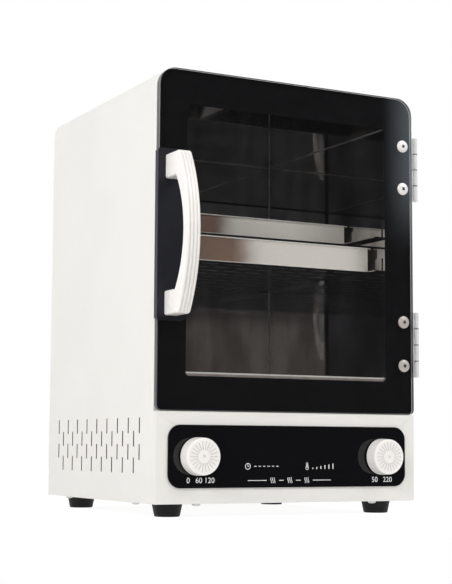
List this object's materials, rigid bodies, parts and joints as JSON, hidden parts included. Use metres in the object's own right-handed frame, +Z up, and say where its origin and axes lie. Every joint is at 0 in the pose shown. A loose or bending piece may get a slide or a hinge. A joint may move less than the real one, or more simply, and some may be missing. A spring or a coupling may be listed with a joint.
{
  "type": "dry heat sterilizer",
  "caption": "Bench-top dry heat sterilizer: sheet-metal cabinet with a hinged glass door, mirror-bright chamber with sliding trays, and timer and thermostat knobs.",
  "frame": {"origin": "bottom centre of the closed object's box, on the surface that the feet stand on", "axes": "+Z up, +Y from the door towards the back, +X towards the hinges"},
  "size_m": [0.2856, 0.3122, 0.4049],
  "materials": {
    "white_paint": "fine satin powder coat",
    "plain_steel": "plain zinc-coated sheet",
    "mirror_steel": "mirror-polished stainless steel",
    "tray_steel": "bright stainless steel",
    "wool": "mineral wool slab",
    "clear_glass": "clear toughened glass with polished edge",
    "black_print": "gloss black enamel print",
    "black_acrylic": "gloss black sheet",
    "white_plastic": "white moulded plastic, slight gloss",
    "black_pad": "satin black",
    "nickel": "nickel plated",
    "zinc": "zinc plated",
    "white_hinge": "white painted steel",
    "black_rubber": "matt rubber",
    "seal_rubber": "grey silicone rubber",
    "heater_sheath": "dull stainless tube",
    "copper": "bare copper",
    "black_plastic": "matt black plastic",
    "cream_plastic": "cream plastic",
    "magnet": "dark ferrite in a brown case"
  },
  "bodies": {
    "cabinet": {"casing_wrap": "white_paint", "front_panel": "white_paint", "back_panel": "white_paint", "base_plate": "plain_steel", "front_frame": "white_paint", "partition_plate": "plain_steel", "chamber": "mirror_steel", "chamber_posts": "plain_steel", "runners_left": "mirror_steel", "runners_right": "mirror_steel", "insulation_top": "wool", "insulation_left": "wool", "insulation_right": "wool", "insulation_back": "wool", "insulation_bottom": "wool", "heater_element": "heater_sheath", "heater_straps": "plain_steel", "thermal_cutout": "black_plastic", "timer_body": "cream_plastic", "thermostat_body": "cream_plastic", "thermostat_capillary": "copper", "terminal_block": "cream_plastic", "mains_inlet": "black_plastic", "inlet_screws": "zinc", "control_fascia": "black_acrylic", "control_screws": "zinc", "door_seal": "seal_rubber", "hinge_cabinet_leaves": "white_hinge", "hinge_pins": "zinc", "hinge_frame_screws": "zinc", "catch_magnets": "magnet", "foot_front_left": "black_rubber", "foot_front_right": "black_rubber", "foot_rear_left": "black_rubber", "foot_rear_right": "black_rubber", "foot_screws": "zinc", "base_screws": "zinc", "back_screws": "zinc"},
    "door": {"door_glass": "clear_glass", "door_border": "black_print", "door_handle": "white_plastic", "handle_plate": "black_pad", "handle_screws": "zinc", "hinge_door_leaves": "white_hinge", "door_screws": "nickel", "strike_plates": "plain_steel"},
    "timer_dial": {"timer_knob": "white_plastic", "timer_shaft": "zinc"},
    "thermostat_dial": {"thermostat_knob": "white_plastic", "thermostat_shaft": "zinc"},
    "lower_tray_body": {"lower_tray": "tray_steel"},
    "upper_tray_body": {"upper_tray": "tray_steel"}
  },
  "joints": [
    {"name": "door_hinge", "type": "hinge", "parent": "cabinet", "child": "door", "pos_m": [0.1398, -0.1047, 0.2498], "axis": [0, 0, 1], "range_deg": [0, 175]},
    {"name": "timer_turn", "type": "hinge", "parent": "cabinet", "child": "timer_dial", "pos_m": [-0.102, -0.11895, 0.054], "axis": [0, 1, 0], "range_deg": [0, 300]},
    {"name": "thermostat_turn", "type": "hinge", "parent": "cabinet", "child": "thermostat_dial", "pos_m": [0.0936, -0.11895, 0.054], "axis": [0, 1, 0], "range_deg": [0, 270]},
    {"name": "lower_tray_slide", "type": "slide", "parent": "cabinet", "child": "lower_tray_body", "axis": [0, -1, 0], "range_m": [0, 0.022]},
    {"name": "upper_tray_slide", "type": "slide", "parent": "cabinet", "child": "upper_tray_body", "axis": [0, -1, 0], "range_m": [0, 0.065]}
  ]
}
